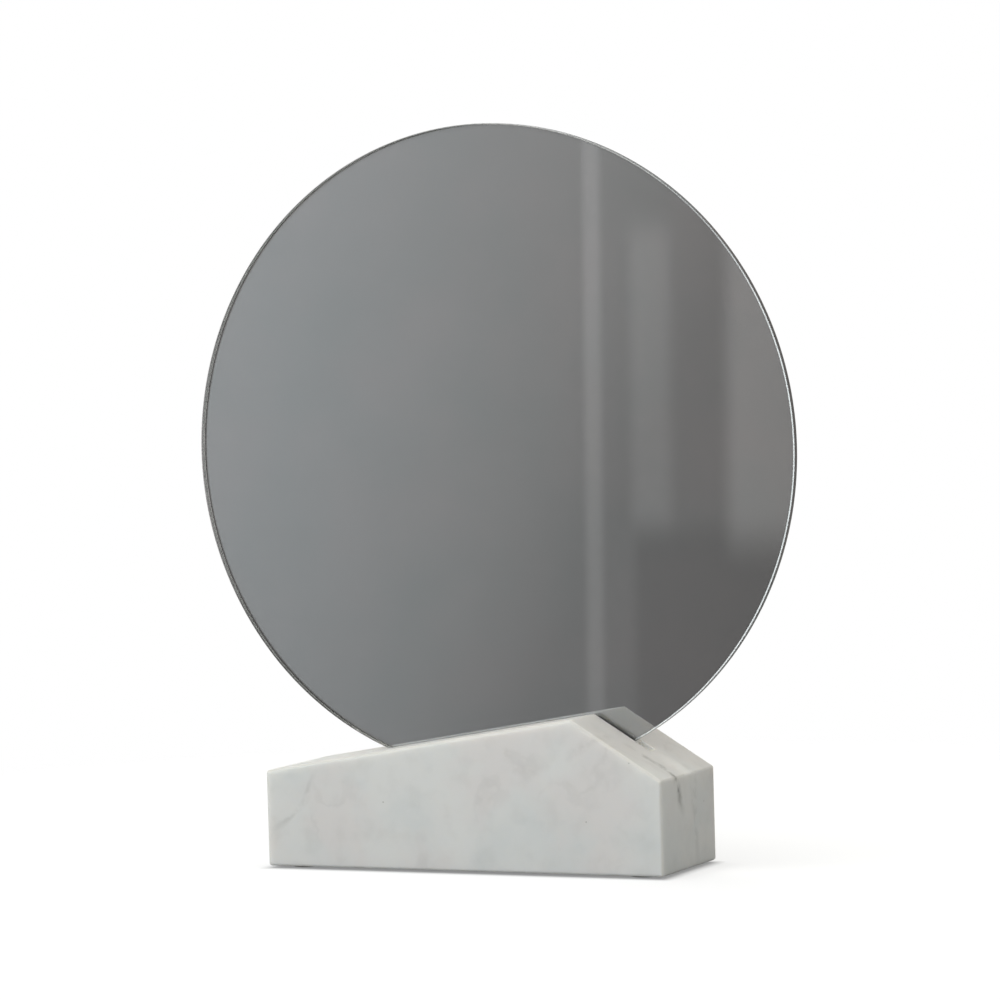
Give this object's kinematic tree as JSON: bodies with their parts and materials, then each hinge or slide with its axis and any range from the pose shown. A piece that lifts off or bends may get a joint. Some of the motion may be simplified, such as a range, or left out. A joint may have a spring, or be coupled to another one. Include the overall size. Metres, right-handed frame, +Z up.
{
  "type": "countertop mirror",
  "caption": "Round frameless mirror pane standing upright in a saw-cut slot of a ridged marble block; the pane lifts out and turns in its liner.",
  "frame": {"origin": "on the surface that the mirror stands on, below the pane's centre line, at the middle of the stone's depth", "axes": "+Z up, -Y towards the person looking into the mirror, +X to that person's right, along the stone's length"},
  "size_m": [0.3, 0.064, 0.3427],
  "materials": {
    "honed_marble": "honed pale marble with faint grey veins",
    "setting_rubber": "matt black rubber",
    "felt": "pressed grey felt",
    "liner_vinyl": "soft white vinyl",
    "float_glass": "clear float glass, ground rim",
    "silver": "grey-toned silvering",
    "backing": "satin grey protective film"
  },
  "bodies": {
    "base": {"marble_base": "honed_marble", "left_setting_block": "setting_rubber", "right_setting_block": "setting_rubber", "front_left_foot": "felt", "front_right_foot": "felt", "rear_left_foot": "felt", "rear_right_foot": "felt"},
    "liner": {"rim_liner": "liner_vinyl"},
    "pane": {"mirror_glass": "float_glass", "silver_coating": "silver", "backing_film": "backing"}
  },
  "joints": [
    {"name": "pane_lift", "type": "slide", "parent": "base", "child": "liner", "axis": [0, 0, 1], "range_m": [0, 0.04]},
    {"name": "pane_turn", "type": "hinge", "parent": "liner", "child": "pane", "pos_m": [0, 0, 0.19275], "axis": [0, 1, 0], "continuous": true}
  ]
}
